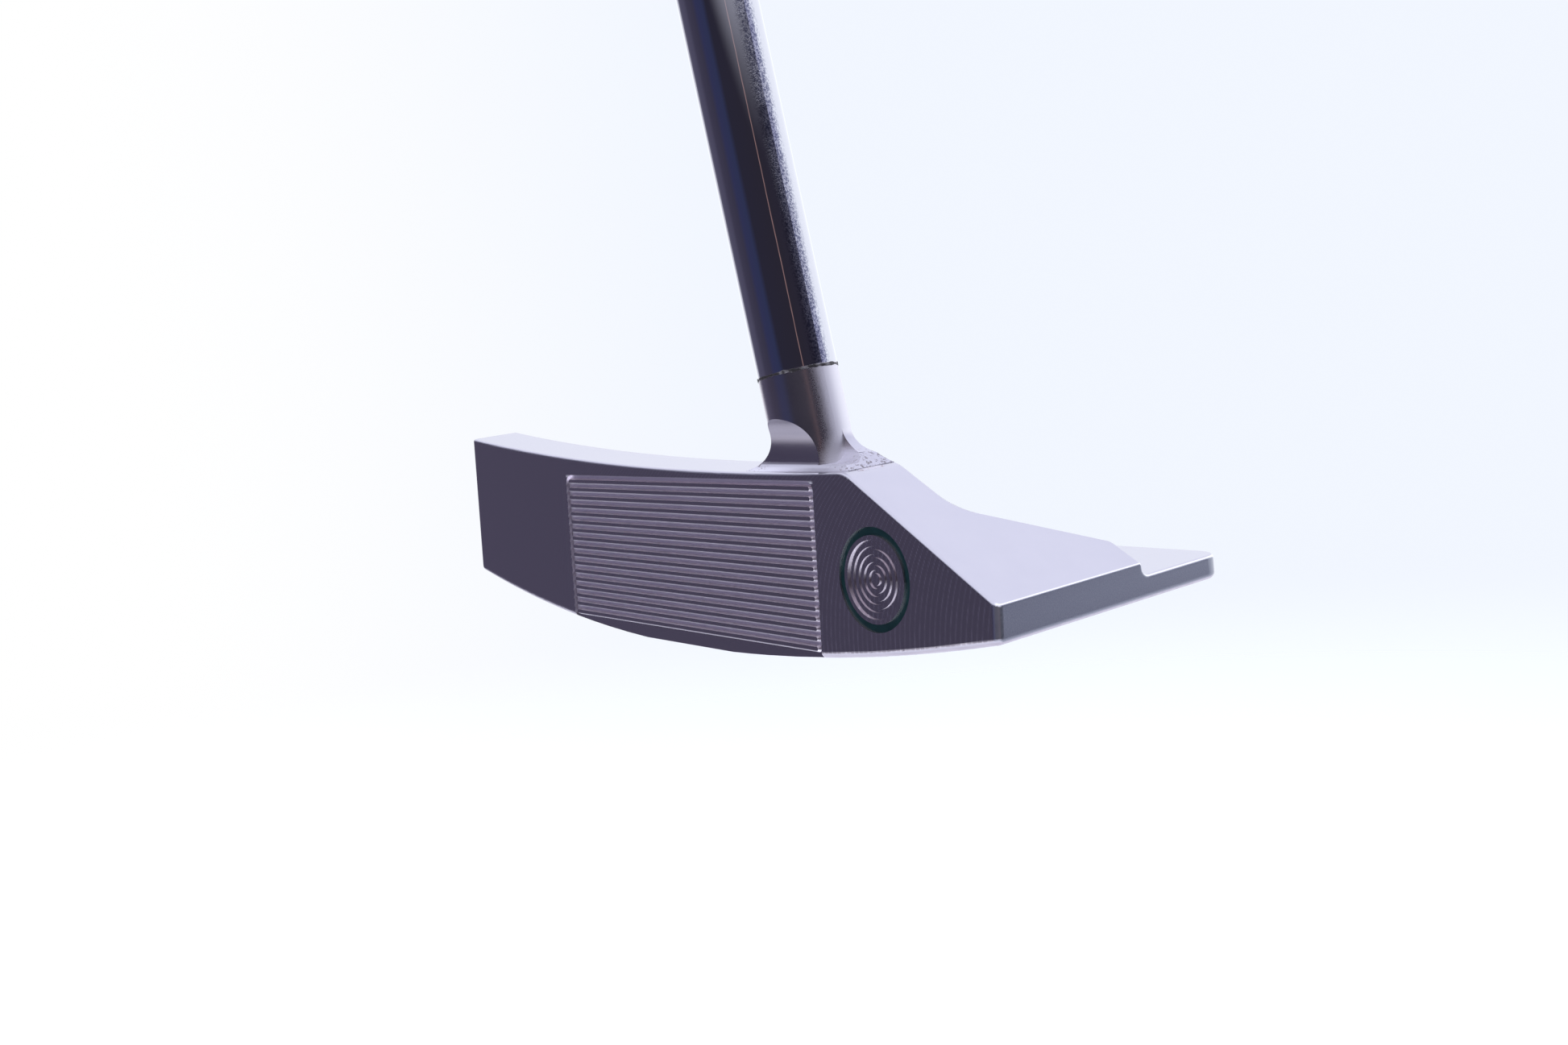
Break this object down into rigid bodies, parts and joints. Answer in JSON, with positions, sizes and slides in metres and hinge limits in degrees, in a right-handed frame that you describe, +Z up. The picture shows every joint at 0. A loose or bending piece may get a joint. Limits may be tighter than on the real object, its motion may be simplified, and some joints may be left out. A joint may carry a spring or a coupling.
{
  "type": "blade putter",
  "caption": "Blade putter with a milled barred face panel, one sloped end, a rear flange, a welded neck, a slim chromed shaft and a flat-fronted grip.",
  "frame": {"origin": "middle of the small flat on the sole", "axes": "+Z up with the putter soled, -Y the way the face looks, +X to the sloped end of the head"},
  "size_m": [0.1761, 0.0457, 0.8553],
  "materials": {
    "head_steel": "satin, fly-cut face",
    "neck_steel": "hand-blended satin",
    "weld": "rough, blended",
    "green_paint": "dark green fill",
    "white_paint": "white fill",
    "shaft_chrome": "polished chrome plate",
    "adhesive": "dark cured epoxy",
    "tape": "double-sided tape",
    "grip_rubber": "fine textured",
    "cap_rubber": "smooth moulded"
  },
  "bodies": {
    "root": {"head_body": "head_steel", "neck": "neck_steel", "weld_beads": "weld", "ornament_paint": "green_paint", "sight_line_paint": "white_paint", "shaft": "shaft_chrome", "post_adhesive": "adhesive", "joint_residue": "adhesive", "grip_tape": "tape", "grip": "grip_rubber", "grip_cap": "cap_rubber"}
  },
  "joints": []
}
